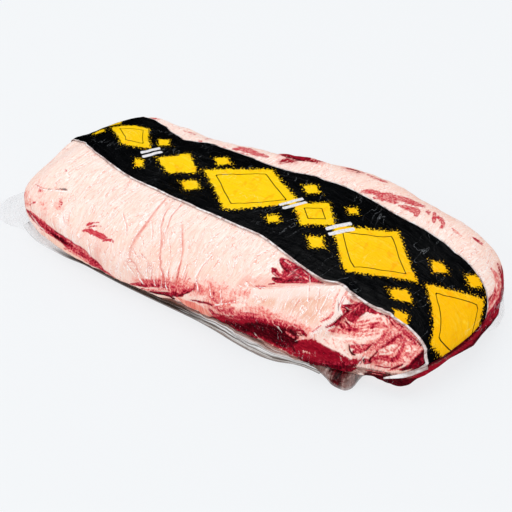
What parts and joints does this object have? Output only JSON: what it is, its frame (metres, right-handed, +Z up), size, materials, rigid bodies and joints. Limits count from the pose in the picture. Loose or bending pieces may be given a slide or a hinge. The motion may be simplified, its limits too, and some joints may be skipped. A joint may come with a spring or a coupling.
{
  "type": "vacuum packed beef brisket",
  "caption": "Long beef brisket with a pale fat cap, shrunk tight in a clear bag with a dark printed band over the top, lying flat.",
  "frame": {"origin": "under the middle of the pack, on the surface that it lies on", "axes": "+X along the pack's length towards its thick end, -Y towards its front long side, +Z up"},
  "size_m": [0.5232, 0.2664, 0.0765],
  "materials": {
    "meat": "wet, pale fat over red lean, under clear film",
    "band": "glossy printed film",
    "film": "clear glossy film",
    "juice": "dark red juice behind clear film"
  },
  "bodies": {
    "root": {"brisket": "meat", "printed_band": "band", "bag_edge_front": "film", "bag_edge_back": "film", "bag_tail_left": "film", "bag_tail_right": "film", "bag_pocket": "juice"}
  },
  "joints": []
}
